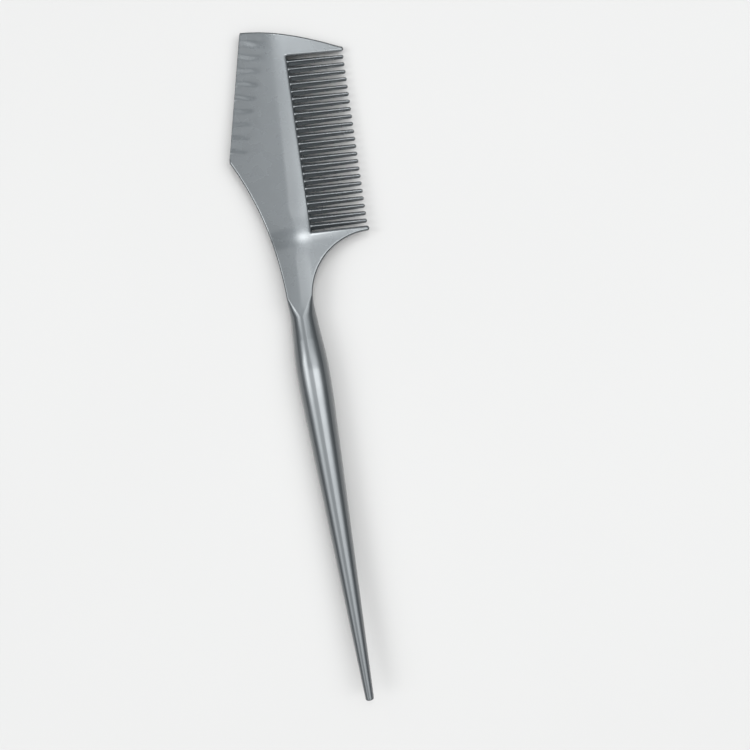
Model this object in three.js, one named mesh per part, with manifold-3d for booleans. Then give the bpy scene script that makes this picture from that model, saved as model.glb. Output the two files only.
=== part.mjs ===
// Hair tint brush body with a comb and a rat tail handle: one plastic moulding, modelled region by region.
// Millimetres. The handle runs along Y (tail at -Y, head at +Y), the comb teeth point to +X, +Z is up.
// Working coordinates have the tail's end at Y = 0, the handle's axis at X = 0 and the mould's parting
// plane at Z = 0. The last lines move the origin to the bottom centre of the whole body.

import * as THREE from 'three';
import { mergeVertices } from 'three/addons/utils/BufferGeometryUtils.js';
import Module from 'manifold-3d';

const wasm = await Module();
wasm.setup();

// Handle
const TIP_RADIUS = 1.3; // at the tail's end
const TIP_FLAT_RADIUS = 0.9; // of the flat on that end, inside its chamfer
const TIP_CHAMFER = 0.5; // the chamfer's length along Y
const GRIP_RADIUS = 5.3; // at its widest
const GRIP_Y = 108; // where it is widest
const NECK_RADIUS = 4.15; // at its narrowest, just below the head
const NECK_Y = 128.5;
const TAPER_SWELL = 1.06; // the tail's cone is this much fuller than a straight one
const SQUARE_END_Y = 133; // the neck's section has become its squarest here
const SQUARE_POWER = 0.35; // shapes that section: 1 is round, 0 has square corners
const HANDLE_SIDES = 24;

// Where one region of the moulding meets the next along Y
const TIP_END_Y = 12;
const TAIL_END_Y = 58;
const GRIP_END_Y = 118;
const HEAD_Y = 143;

// Head outline
const EDGE_LOW = new THREE.Vector2(-15, 178.5); // bristle edge, corner nearer the handle
const EDGE_TOP = new THREE.Vector2(-4.6, 219.3); // bristle edge, corner at the head's end
const ROOT_LOW = new THREE.Vector2(7.25, 152.2); // comb root line, lower end
const ROOT_TOP = new THREE.Vector2(8.9, 209.4); // comb root line, upper end
const GUARD_TIP = new THREE.Vector2(26.65, 209.15); // centre of the upper guard's round end
const HORN_TIP = new THREE.Vector2(25.05, 150.6); // centre of the lower guard's round end
const GUARD_TIP_RADIUS = 0.8;
const DOME_LAND = 0.1; // straight bit between the domed end and the upper guard's round end
const OUTER_START_Y = 130; // the curve up to the bristle edge starts here
const OUTER_BEND = new THREE.Vector2(-4.15, 156.6); // steers that curve
const TOP_BEND = new THREE.Vector2(9.6, 218.05); // steers the head's domed end

// Thickness
// The ramp's steepness along Y, as a share of its steepest: it runs from the round handle to the flat blade
const RAMP_STEEPNESS = [[123, 0], [133, 0.45], [145, 0.45], [151, 1], [161, 0]];
const RAMP_START_Y = RAMP_STEEPNESS[0][0];
const RAMP_END_Y = RAMP_STEEPNESS.at(-1)[0];
const BLADE_HALF = 2.1; // half the blade's thickness
const GUARD_ROOT_HALF = 2.2; // half thickness that the guards' taper starts from, at the root line
const COMB_TIP_HALF = 0.8; // half thickness at the tips of teeth and guards

// Comb teeth
const TOOTH_COUNT = 23;
const TOOTH_PITCH = 2.432;
const FIRST_GAP = 1.85; // from the upper guard's edge to the first tooth's middle
const TOOTH_LENGTH = 18.35;
const TOOTH_TILT = THREE.MathUtils.degToRad(-3.2);
const TOOTH_BASE_HALF = 1.12; // half width at the parting plane, at the root
const TOOTH_END_HALF = 0.66; // the same at the round tip
const TOOTH_BASE_FLAT = 0.1; // half height of the upright strip there
const TOOTH_CREST_HALF = 0.28; // half width at the crest
const TOOTH_ROOT_HALF = 1.7; // half thickness at the root

// Blind tuft sockets in the bristle edge
const SOCKET_COUNT = 9;
const SOCKET_RADIUS = 1;
const SOCKET_DEPTH = 6;
const SOCKET_SIDES = 12;
const SOCKET_PITCH = 4.335;
const SOCKET_FIRST = 2.46; // from the head's end corner to the first socket, along the edge

// Regions of the head
const RAIL_WIDTH = 7.2; // strip along the bristle edge
const SPINE_WIDTH = 3; // strip along the comb root line
const GAP = 0.3; // clearance between neighbouring regions
const FAR = 60; // reaches past the whole head across and up
const PAST = 5; // and this far past its end
const OVER = 1; // a cutting shape reaches this far past the face that it cuts
const ROUND_STEPS = 6; // straight steps that stand for a small round end

const PLASTIC = { color: 0x8c9298, roughness: 0.32, metalness: 0.25 };

// Closed three.js geometry to a solid that can be cut, and back
function toSolid(geometry) {
  const bare = geometry.clone();
  bare.deleteAttribute('normal');
  bare.deleteAttribute('uv');
  const merged = mergeVertices(bare, 1e-4);
  const mesh = new wasm.Mesh({
    numProp: 3,
    vertProperties: new Float32Array(merged.attributes.position.array),
    triVerts: new Uint32Array(merged.index.array),
  });
  return new wasm.Manifold(mesh);
}

function toGeometry(solid) {
  const mesh = solid.getMesh();
  const geometry = new THREE.BufferGeometry();
  geometry.setAttribute('position', new THREE.BufferAttribute(mesh.vertProperties, 3));
  geometry.setIndex(new THREE.BufferAttribute(mesh.triVerts, 1));
  geometry.computeVertexNormals();
  return geometry;
}

// An outline swept equally to both sides of its own plane
function slab(outline, halfDepth, curveSegments) {
  const options = { depth: 2 * halfDepth, bevelEnabled: false, curveSegments };
  return new THREE.ExtrudeGeometry(outline, options).translate(0, 0, -halfDepth);
}

// The shape between a line of [along, height] points and its mirror image below
function mirroredShape(upper) {
  const lower = upper.map(([along, height]) => [along, -height]).reverse();
  return new THREE.Shape([...upper, ...lower].map(([along, height]) => new THREE.Vector2(along, height)));
}

// Handle
function handleRadius(y) {
  const cone = TIP_RADIUS + (TAPER_SWELL * (GRIP_RADIUS - TIP_RADIUS) * y) / GRIP_Y;
  const waist = THREE.MathUtils.smoothstep(y, GRIP_Y, NECK_Y);
  return Math.min(cone, THREE.MathUtils.lerp(GRIP_RADIUS, NECK_RADIUS, waist));
}

function handleSection(fromY, toY, steps) {
  const profile = [new THREE.Vector2(0, fromY)];
  for (let i = 0; i <= steps; i += 1) {
    const y = THREE.MathUtils.lerp(fromY, toY, i / steps);
    profile.push(new THREE.Vector2(handleRadius(y), y));
  }
  profile.push(new THREE.Vector2(0, toY));
  return new THREE.LatheGeometry(profile, HANDLE_SIDES);
}

function tailTip() {
  const endY = TIP_END_Y - GAP / 2;
  const profile = [
    new THREE.Vector2(0, 0),
    new THREE.Vector2(TIP_FLAT_RADIUS, 0),
    new THREE.Vector2(handleRadius(TIP_CHAMFER), TIP_CHAMFER),
    new THREE.Vector2(handleRadius(endY), endY),
    new THREE.Vector2(0, endY),
  ];
  return new THREE.LatheGeometry(profile, HANDLE_SIDES);
}

// Area under the ramp's steepness as far as Y
function rampFall(y) {
  let area = 0;
  for (let i = 1; i < RAMP_STEEPNESS.length; i += 1) {
    const [fromY, from] = RAMP_STEEPNESS[i - 1];
    const [toY, to] = RAMP_STEEPNESS[i];
    const reached = THREE.MathUtils.clamp(y, fromY, toY);
    const there = THREE.MathUtils.lerp(from, to, (reached - fromY) / (toY - fromY));
    area += ((from + there) / 2) * (reached - fromY);
  }
  return area;
}

// Half thickness of neck and head along Y: the ramp falls from the round handle to the flat blade
function faceHeight(y) {
  const top = handleRadius(Math.min(y, NECK_Y));
  return THREE.MathUtils.lerp(top, BLADE_HALF, rampFall(y) / rampFall(RAMP_END_Y));
}

// Left side of neck and head: the height along the curve gives its parameter, and that gives X
function outerX(y) {
  if (y <= OUTER_START_Y) return -handleRadius(y);
  const a = OUTER_START_Y - 2 * OUTER_BEND.y + EDGE_LOW.y;
  const b = 2 * (OUTER_BEND.y - OUTER_START_Y);
  const t = (-b + Math.sqrt(b * b - 4 * a * (OUTER_START_Y - y))) / (2 * a);
  return -NECK_RADIUS + t * t * (EDGE_LOW.x + NECK_RADIUS);
}

// Right side of the neck: a round arc that runs on under the lower guard
const hornRadius = HORN_TIP.x - NECK_RADIUS;
const hornCentre = new THREE.Vector2(HORN_TIP.x, HORN_TIP.y - GUARD_TIP_RADIUS - hornRadius);

function hornX(y) {
  if (y <= hornCentre.y) return handleRadius(y);
  return hornCentre.x - Math.sqrt(hornRadius ** 2 - (y - hornCentre.y) ** 2);
}

// Neck: a round section at the handle turns into a flat one with square sides at the head
function neck() {
  const rings = 12;
  const fromY = GRIP_END_Y + GAP / 2;
  const toY = HEAD_Y - GAP / 2;
  const geometry = new THREE.CylinderGeometry(1, 1, 1, HANDLE_SIDES, rings);
  const position = geometry.attributes.position;
  for (let i = 0; i < position.count; i += 1) {
    const y = THREE.MathUtils.lerp(fromY, toY, position.getY(i) + 0.5);
    const squareness = THREE.MathUtils.smoothstep(y, RAMP_START_Y, SQUARE_END_Y);
    const power = THREE.MathUtils.lerp(1, SQUARE_POWER, squareness);
    const bulge = (value) => Math.sign(value) * Math.abs(value) ** power;
    const halfWidth = (hornX(y) - outerX(y)) / 2;
    const middle = (hornX(y) + outerX(y)) / 2;
    const halfHeight = Math.min(handleRadius(y), faceHeight(y));
    const across = Math.abs(position.getX(i)) < 1e-6 ? 0 : position.getX(i);
    const up = Math.abs(position.getZ(i)) < 1e-6 ? 0 : position.getZ(i);
    position.setXYZ(i, middle + halfWidth * bulge(across), y, halfHeight * bulge(up));
  }
  return geometry;
}

// Head: one solid for the whole flat part above the neck, before it is cut into regions
function roundEnd(shape, tip, radius) {
  for (let i = 0; i <= ROUND_STEPS; i += 1) {
    const angle = Math.PI * (0.5 - i / ROUND_STEPS);
    shape.lineTo(tip.x + radius * Math.cos(angle), tip.y + radius * Math.sin(angle));
  }
}

function headOutline() {
  const shape = new THREE.Shape();
  shape.moveTo(-NECK_RADIUS, OUTER_START_Y);
  shape.quadraticCurveTo(OUTER_BEND.x, OUTER_BEND.y, EDGE_LOW.x, EDGE_LOW.y);
  shape.lineTo(EDGE_TOP.x, EDGE_TOP.y);
  const domeEnd = new THREE.Vector2(GUARD_TIP.x - DOME_LAND, GUARD_TIP.y + GUARD_TIP_RADIUS);
  shape.quadraticCurveTo(TOP_BEND.x, TOP_BEND.y, domeEnd.x, domeEnd.y);
  roundEnd(shape, GUARD_TIP, GUARD_TIP_RADIUS);
  shape.lineTo(ROOT_TOP.x, ROOT_TOP.y);
  shape.lineTo(ROOT_LOW.x, ROOT_LOW.y);
  roundEnd(shape, HORN_TIP, GUARD_TIP_RADIUS);
  shape.absarc(hornCentre.x, hornCentre.y, hornRadius, Math.PI / 2, Math.PI, false);
  return shape;
}

// Turns an outline's own X, Y and depth into the body's Y, Z and X
function standAcross(geometry) {
  const [axisX, axisY, axisZ] = [[1, 0, 0], [0, 1, 0], [0, 0, 1]].map((v) => new THREE.Vector3(...v));
  return geometry.applyMatrix4(new THREE.Matrix4().makeBasis(axisY, axisZ, axisX));
}

// Side profile of the head, in Y and Z, swept along X
function faceProfile() {
  const steps = 10;
  const upper = [];
  for (let i = 0; i <= steps; i += 1) {
    const y = THREE.MathUtils.lerp(OUTER_START_Y, RAMP_END_Y, i / steps);
    upper.push([y, faceHeight(y)]);
  }
  upper.push([EDGE_TOP.y + OVER, BLADE_HALF]);
  return standAcross(slab(mirroredShape(upper), FAR));
}

// End profile of the comb side, in X and Z, swept along Y: full height up to the root line, then
// thinner and thinner to the tips
function combProfile(rootX, rootHalf, tipX) {
  const upper = [
    [rootX - FAR, 2 * NECK_RADIUS],
    [rootX, 2 * NECK_RADIUS],
    [rootX, rootHalf],
    [tipX, COMB_TIP_HALF],
    [tipX + OVER, COMB_TIP_HALF],
  ];
  return slab(mirroredShape(upper), FAR).rotateX(Math.PI / 2);
}

function head() {
  const flat = toSolid(slab(headOutline(), GRIP_RADIUS, 16)).intersect(toSolid(faceProfile()));
  const middleY = (ROOT_LOW.y + ROOT_TOP.y) / 2;
  const guardTaper = combProfile(ROOT_TOP.x, GUARD_ROOT_HALF, GUARD_TIP.x).translate(0, middleY, 0);
  return flat.intersect(toSolid(guardTaper));
}

// Regions: prisms that share the cut lines, and a thin kerf along each cut line for the clearance
const along = EDGE_TOP.clone().sub(EDGE_LOW).normalize();
const inward = new THREE.Vector2(along.y, -along.x);
const rail = {
  outerLow: EDGE_LOW.clone().addScaledVector(inward, -OVER),
  innerLow: EDGE_LOW.clone().addScaledVector(inward, RAIL_WIDTH),
};
const railReach = EDGE_LOW.distanceTo(EDGE_TOP) + PAST;
rail.outerTop = rail.outerLow.clone().addScaledVector(along, railReach);
rail.innerTop = rail.innerLow.clone().addScaledVector(along, railReach);

const rootSlope = (ROOT_TOP.x - ROOT_LOW.x) / (ROOT_TOP.y - ROOT_LOW.y);

function spineLine(y) {
  return new THREE.Vector2(ROOT_LOW.x - SPINE_WIDTH + rootSlope * (y - ROOT_LOW.y), y);
}

function kerf(from, to) {
  const run = to.clone().sub(from);
  const geometry = new THREE.BoxGeometry(run.length(), GAP, 2 * FAR);
  geometry.rotateZ(run.angle()).translate((from.x + to.x) / 2, (from.y + to.y) / 2, 0);
  return toSolid(geometry);
}

function regionsOf(solid) {
  const farTop = EDGE_TOP.y + PAST;
  const cuts = [
    [rail.outerLow, rail.innerLow],
    [rail.innerLow, rail.innerTop],
    [spineLine(HEAD_Y), spineLine(farTop)],
    [spineLine(ROOT_TOP.y), ROOT_TOP],
    [spineLine(ROOT_LOW.y), ROOT_LOW],
    [new THREE.Vector2(-FAR, HEAD_Y), new THREE.Vector2(FAR, HEAD_Y)],
  ];
  const cut = cuts.reduce((left, [from, to]) => left.subtract(kerf(from, to)), solid);
  const corner = (x, y) => new THREE.Vector2(x, y);
  const outlines = {
    bristle_rail: [rail.outerLow, rail.innerLow, rail.innerTop, rail.outerTop],
    blade: [
      corner(-FAR, HEAD_Y), spineLine(HEAD_Y), spineLine(farTop),
      rail.innerTop, rail.innerLow, rail.outerLow, corner(-FAR, EDGE_LOW.y),
    ],
    comb_spine: [spineLine(ROOT_LOW.y), ROOT_LOW, ROOT_TOP, spineLine(ROOT_TOP.y)],
    upper_guard: [
      spineLine(ROOT_TOP.y), ROOT_TOP, corner(ROOT_TOP.x, ROOT_TOP.y - PAST),
      corner(FAR, ROOT_TOP.y - PAST), corner(FAR, farTop), spineLine(farTop),
    ],
    lower_guard: [
      spineLine(HEAD_Y), corner(FAR, HEAD_Y), corner(FAR, ROOT_LOW.y), spineLine(ROOT_LOW.y),
    ],
  };
  const regions = {};
  for (const [name, points] of Object.entries(outlines)) {
    regions[name] = cut.intersect(toSolid(slab(new THREE.Shape(points), FAR)));
  }
  return regions;
}

function drillSockets(solid) {
  let drilled = solid;
  for (let i = 0; i < SOCKET_COUNT; i += 1) {
    const mouth = EDGE_TOP.clone().addScaledVector(along, -(SOCKET_FIRST + i * SOCKET_PITCH));
    const middle = mouth.addScaledVector(inward, (SOCKET_DEPTH - OVER) / 2);
    const drill = new THREE.CylinderGeometry(SOCKET_RADIUS, SOCKET_RADIUS, SOCKET_DEPTH + OVER, SOCKET_SIDES);
    drill.rotateZ(inward.angle() - Math.PI / 2).translate(middle.x, middle.y, 0);
    drilled = drilled.subtract(toSolid(drill));
  }
  return drilled;
}

// Tooth: drafted section with a narrow crest, thick at the root, thin and round at the tip.
// Its root is at the origin and it points along X.
function tooth() {
  const plan = new THREE.Shape();
  const tip = new THREE.Vector2(TOOTH_LENGTH - TOOTH_END_HALF, 0);
  plan.moveTo(GAP, TOOTH_BASE_HALF);
  roundEnd(plan, tip, TOOTH_END_HALF);
  plan.lineTo(GAP, -TOOTH_BASE_HALF);
  const section = mirroredShape([
    [-TOOTH_BASE_HALF, TOOTH_BASE_FLAT],
    [-TOOTH_CREST_HALF, TOOTH_ROOT_HALF],
    [TOOTH_CREST_HALF, TOOTH_ROOT_HALF],
    [TOOTH_BASE_HALF, TOOTH_BASE_FLAT],
  ]);
  return toSolid(slab(plan, GRIP_RADIUS))
    .intersect(toSolid(standAcross(slab(section, FAR))))
    .intersect(toSolid(combProfile(0, TOOTH_ROOT_HALF, TOOTH_LENGTH)));
}

// Assembly
const body = new THREE.Group();

function addPiece(name, geometry) {
  const mesh = new THREE.Mesh(geometry, new THREE.MeshStandardMaterial(PLASTIC));
  mesh.name = name;
  body.add(mesh);
  return mesh;
}

addPiece('tail_tip', toGeometry(toSolid(tailTip())));
addPiece('tail', toGeometry(toSolid(handleSection(TIP_END_Y + GAP / 2, TAIL_END_Y - GAP / 2, 2))));
addPiece('grip', toGeometry(toSolid(handleSection(TAIL_END_Y + GAP / 2, GRIP_END_Y - GAP / 2, 12))));
addPiece('neck', toGeometry(toSolid(neck())));

const regions = regionsOf(head());
regions.bristle_rail = drillSockets(regions.bristle_rail);
for (const [name, solid] of Object.entries(regions)) {
  addPiece(name, toGeometry(solid));
}

const toothGeometry = toGeometry(tooth());
for (let i = 0; i < TOOTH_COUNT; i += 1) {
  const mesh = addPiece(`tooth_${String(i + 1).padStart(2, '0')}`, toothGeometry.clone());
  const y = ROOT_TOP.y - FIRST_GAP - i * TOOTH_PITCH;
  mesh.position.set(ROOT_LOW.x + rootSlope * (y - ROOT_LOW.y), y, 0);
  mesh.rotation.z = TOOTH_TILT;
}

// Origin at the bottom centre of the whole body
const bounds = new THREE.Box3().setFromObject(body);
const centre = bounds.getCenter(new THREE.Vector3());
body.position.set(-centre.x, -centre.y, -bounds.min.z);

const group = new THREE.Group();
group.add(body);

export default group;
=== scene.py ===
"""A one-piece hair tint brush body with a comb and a rat tail handle, lying on a pale table.

Every visible piece replaces the CAD node of the same name and is cut from one continuous surface, so the
moulding shows no joins. Sizes are in millimetres in working coordinates: X across, Y from the tail's end to
the head, Z up from the parting plane. to_frame() moves them into the CAD frame, in metres.
"""

import math

import bpy
import numpy as np
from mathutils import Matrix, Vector
from mathutils.geometry import delaunay_2d_cdt


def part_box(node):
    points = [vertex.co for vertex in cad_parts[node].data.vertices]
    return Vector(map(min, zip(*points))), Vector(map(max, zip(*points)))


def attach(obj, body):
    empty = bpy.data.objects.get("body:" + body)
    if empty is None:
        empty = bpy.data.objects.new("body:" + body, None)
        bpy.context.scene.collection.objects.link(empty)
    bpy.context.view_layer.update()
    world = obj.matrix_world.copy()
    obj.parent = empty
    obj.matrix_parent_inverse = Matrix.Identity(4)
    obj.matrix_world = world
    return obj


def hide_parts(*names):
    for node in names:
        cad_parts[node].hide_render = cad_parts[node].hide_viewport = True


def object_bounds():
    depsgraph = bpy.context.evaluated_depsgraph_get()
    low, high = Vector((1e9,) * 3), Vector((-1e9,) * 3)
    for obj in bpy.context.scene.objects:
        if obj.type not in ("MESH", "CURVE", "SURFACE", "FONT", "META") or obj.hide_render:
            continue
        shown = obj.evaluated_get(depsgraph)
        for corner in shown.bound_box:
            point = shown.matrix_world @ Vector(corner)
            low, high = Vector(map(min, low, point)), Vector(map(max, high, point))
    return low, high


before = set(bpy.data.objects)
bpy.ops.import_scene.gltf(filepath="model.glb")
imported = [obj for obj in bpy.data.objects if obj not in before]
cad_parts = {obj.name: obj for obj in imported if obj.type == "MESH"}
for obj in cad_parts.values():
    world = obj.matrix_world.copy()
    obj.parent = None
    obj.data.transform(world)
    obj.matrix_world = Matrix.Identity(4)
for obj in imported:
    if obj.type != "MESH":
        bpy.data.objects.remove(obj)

cad_low, cad_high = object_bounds()
grip_low, grip_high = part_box("grip")
MM = 0.001
ORIGIN = np.array([(grip_low[0] + grip_high[0]) / 2, cad_low[1], (grip_low[2] + grip_high[2]) / 2])

# Handle
TIP_RADIUS = 1.3
GRIP_RADIUS = 5.3
GRIP_Y = 108
NECK_RADIUS = 4.15
NECK_Y = 128.5
TAPER_SWELL = 1.06
TAIL_RIM = 0.55
WAIST_BLEND = 0.15
TIP_END_Y = 12
TAIL_END_Y = 58
GRIP_END_Y = 118
HEAD_Y = 143

# Head outline
EDGE_LOW = np.array([-15, 178.5])
EDGE_TOP = np.array([-4.6, 219.3])
ROOT_LOW = np.array([7.25, 152.2])
ROOT_TOP = np.array([8.9, 209.4])
GUARD_TIP = np.array([26.65, 209.15])
HORN_TIP = np.array([25.05, 150.6])
GUARD_TIP_RADIUS = 0.8
OUTER_START_Y = 130
OUTER_BEND = np.array([-4.15, 156.6])
TOP_BEND = np.array([9.6, 218.05])
CORNER_RADIUS = 0.35
LOW_CORNER_RADIUS = 0.5
DOME_OVERLAP = 0.1

# Faces
RAMP_STEEPNESS = [(123, 0), (133, 0.45), (145, 0.45), (151, 1), (161, 0)]
BLADE_HALF = 2.1
FACE_START_Y = 135
FACE_FULL_Y = 158
CROWN_CURVE = 0.003
NECK_CROWN = 0.0145
NECK_CROWN_X = -0.4
NECK_CROWN_REACH = 6
NECK_CROWN_RISE = (126, 132)
NECK_CROWN_FALL = (168, 136)
SPINE_FALL = 0.07
SPINE_REACH = 6.5
EDGE_ROUND = 0.7
EDGE_LAND = 0.05
BRISTLE_EDGE_ROUND = 0.25
COMB_BEVEL_WIDTH = 0.75
COMB_BEVEL_RADIUS = 1.1
BEVEL_FADE = 0.8
BRISTLE_EDGE_FADE = 1.5
BRISTLE_EDGE_BAND = 0.2
SQUARE_START_Y = 126
SQUARE_END_Y = 132

# Comb
TOOTH_COUNT = 23
TOOTH_PITCH = 2.432
FIRST_GAP = 1.85
TOOTH_LENGTH = 18.35
TOOTH_TILT = math.radians(-3.2)
TOOTH_BASE_HALF = 1.12
TOOTH_END_HALF = 0.66
TOOTH_CREST_HALF = 0.27
TOOTH_ROOT_HEIGHT = 1.55
TOOTH_END_HEIGHT = 0.8
TOOTH_END_CREST = 0.45
TOOTH_CREST_ROUND = 0.25
TOOTH_END_ROUND = 0.7
TOOTH_NOSE_HEIGHT = 0.45
TOOTH_FILLET = 0.6
TOOTH_FILLET_BASE = 0.2
TOOTH_FILLET_CREST = 0.3
TOOTH_CREASE = math.radians(38)

# Bristle edge
SOCKET_COUNT = 9
SOCKET_RADIUS = 1.0
SOCKET_MOUTH = 0.1
SOCKET_SIDES = 28
SOCKET_DEPTH = 6
SOCKET_PITCH = 4.335
SOCKET_FIRST = 2.46
RAIL_WIDTH = 7.2
SPINE_WIDTH = 3
SINK_DEPTH = 0.09
SINK_REACH = 6.5
WELD_DEPTH = 0.05
WELD_WIDTH = 0.16
WELD_REACH = 1.6

# Mesh
STEP = 0.4
TIP_STEP = 0.12
Y_SPAN = (100, 240)
COLUMNS = 64
COLUMN_SHARE = np.sin(np.linspace(-math.pi / 2, math.pi / 2, COLUMNS + 1))
NECK_STEP = 0.25
EDGE_OFFSETS = [0.012, 0.05, 0.11, 0.2, 0.32, 0.46, 0.6, 0.7]
GRID = 0.6
RAIL_GRID = 0.3
RAIL_MARGIN = 0.3
GRID_MARGIN = 0.12
NECK_MARGIN = 0.15
RIDGE = 0.05
RIDGE_HALF = 0.08

# Plastic: the roughness changes along Y in the frame, in metres, from the grip to the head
METALLIC = 0.45
COAT = 1.0
COAT_ROUGHNESS = 0.03
COAT_IOR = 1.6
PEARL_DARK = (0.065, 0.072, 0.077)
PEARL_LIGHT = (0.07, 0.0775, 0.0825)
FLAKE_SCALE = 7000
FLAKE_SHARE = 0.45
FLAKE_BUMP = 0.1
CLOUD_SCALE = 60
NOISE_RANGE = (0.35, 0.65)
HANDLE_ROUGHNESS = 0.36
HEAD_ROUGHNESS = 0.27
ROUGHNESS_CHANGE = (0.005, 0.035)
ROUGHNESS_SPREAD = 0.03
SMEAR_SCALE = 220
BUMP_SCALE = 900
BUMP_STRENGTH = 0.03
BUMP_HEIGHT = 0.00002

# Table, in metres
TABLE_HALF = 20
TABLE_GAP = 0.0002
TABLE_DARK = (0.467, 0.454, 0.446)
TABLE_LIGHT = (0.486, 0.473, 0.464)
TABLE_ROUGHNESS = 0.6
TABLE_CLOUD_SCALE = 6

# Studio light: knots of (angle from straight up in degrees, brightness)
SKY_COLOUR = (0.955, 0.985, 1)
SKY_REACH = 100
SKY_BASE = 0.04
TAIL_SIDE_ALONG = [
    (-100, 0), (-60, 0.06), (-25, 0.25), (-11, 0.52), (-6, 0.78), (-1.5, 1), (1, 1), (2.5, 0.7),
    (4.6, 0.5),
]
OVERHEAD_ACROSS = [
    (-100, 0), (-60, 0.2), (-33, 2.2), (-22, 3), (-12, 3.2), (20, 3.2), (40, 2.2), (60, 0.2), (100, 0),
]
OVERHEAD_ALONG = TAIL_SIDE_ALONG + [
    (17, 0.5), (18.5, 0.2), (21, 0.2), (23, 0.56), (31, 0.58), (38, 0.2), (100, 0),
]
STRIP_ACROSS = [(-100, 0), (1.5, 0), (8, 5.6), (33, 6.4), (46, 3.8), (56, 1.1), (68, 0.1), (100, 0)]
STRIP_ALONG = TAIL_SIDE_ALONG + [(9, 0.44), (14, 0.12), (22, 0.05), (100, 0)]
SIDE_ACROSS = [
    (-100, 0), (-68, 0.4), (-54, 4.5), (-44, 7.5), (-33, 5), (-24, 0.8), (-18, 0), (100, 0),
]
SIDE_ALONG = [
    (-100, 0), (-60, 0.06), (-25, 0.3), (-11, 0.45), (-6, 0.65), (-1.5, 1), (3, 1.25), (10, 1.25),
    (14, 0.5), (22, 0.1), (100, 0),
]
PANEL_ACROSS = [(-100, 0), (-2.6, 0), (-1.8, 1), (6, 1), (6.8, 0), (100, 0)]
PANEL_ALONG = [(-100, 0), (4, 0), (7, 1.2), (12, 1.8), (15, 0.9), (18, 0.5), (27, 1), (32, 0), (100, 0)]
PANEL_SLANT = 0.35
PANEL_MIDDLE = 10
LAMP_ANGLES = (6, 23.5)
LAMP_REACH = (4.8, 3.4)
LAMP = 22
BACKDROP = 0.93

# Camera
LENS = 50.45
CAMERA_PLACE = (19.57, 103.3, 340)
CAMERA_TURN = -9.85


def to_frame(points):
    return ORIGIN + np.asarray(points, float) * MM


def smoothstep(low, high, value):
    t = np.clip((value - low) / (high - low), 0, 1)
    return t * t * (3 - 2 * t)


# ---------------------------------------------------------------- outline

def handle_radius(y):
    cone = TIP_RADIUS + TAPER_SWELL * (GRIP_RADIUS - TIP_RADIUS) * y / GRIP_Y
    waist = GRIP_RADIUS + (NECK_RADIUS - GRIP_RADIUS) * smoothstep(GRIP_Y, NECK_Y, y)
    gap = np.clip(0.5 + 0.5 * (waist - cone) / WAIST_BLEND, 0, 1)
    return waist + (cone - waist) * gap - WAIST_BLEND * gap * (1 - gap)


def outer_x(y):
    """Left side of neck and head up to the bristle edge's lower corner."""
    a = OUTER_START_Y - 2 * OUTER_BEND[1] + EDGE_LOW[1]
    b = 2 * (OUTER_BEND[1] - OUTER_START_Y)
    t = (-b + np.sqrt(np.maximum(b * b - 4 * a * (OUTER_START_Y - y), 0))) / (2 * a)
    curve = -NECK_RADIUS + t * t * (EDGE_LOW[0] + NECK_RADIUS)
    return np.where(y <= OUTER_START_Y, -handle_radius(y), curve)


HORN_RADIUS = HORN_TIP[0] - NECK_RADIUS
HORN_CENTRE = np.array([HORN_TIP[0], HORN_TIP[1] - GUARD_TIP_RADIUS - HORN_RADIUS])


def horn_x(y):
    """Right side of the neck: a round arc that runs on under the lower guard."""
    rise = np.clip(y - HORN_CENTRE[1], 0, HORN_RADIUS)
    curve = HORN_CENTRE[0] - np.sqrt(HORN_RADIUS**2 - rise**2)
    return np.where(y <= HORN_CENTRE[1], handle_radius(y), curve)


def line(start, end, step):
    count = max(1, round(math.dist(start, end) / step))
    return [start + (end - start) * i / count for i in range(count)]


def quadratic(start, bend, end, step):
    count = max(2, round(math.dist(start, end) / step))
    ts = [i / count for i in range(count)]
    return [(1 - t) ** 2 * start + 2 * t * (1 - t) * bend + t * t * end for t in ts]


def arc(centre, radius, start, end, step):
    """Points on a round arc from angle start to angle end, the end point left out."""
    count = max(3, round(abs(end - start) * radius / step))
    angles = [start + (end - start) * i / count for i in range(count)]
    return [centre + radius * np.array([math.cos(a), math.sin(a)]) for a in angles]


def round_corner(before, corner, after, radius, step):
    """Arc that takes the sharp corner off two straight stretches, with its two ends."""
    back, ahead = before - corner, after - corner
    back, ahead = back / np.linalg.norm(back), ahead / np.linalg.norm(ahead)
    half = math.acos(np.clip(back @ ahead, -1, 1)) / 2
    middle = (back + ahead) / np.linalg.norm(back + ahead)
    centre = corner + middle * radius / math.sin(half)
    reach = radius / math.tan(half)
    spokes = [corner + back * reach - centre, corner + ahead * reach - centre]
    start, end = [math.atan2(s[1], s[0]) for s in spokes]
    turn = (end - start + math.pi) % (2 * math.pi) - math.pi
    points = arc(centre, radius, start, start + turn, min(step, radius / 4))
    return points + [centre + spokes[1]]


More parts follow.
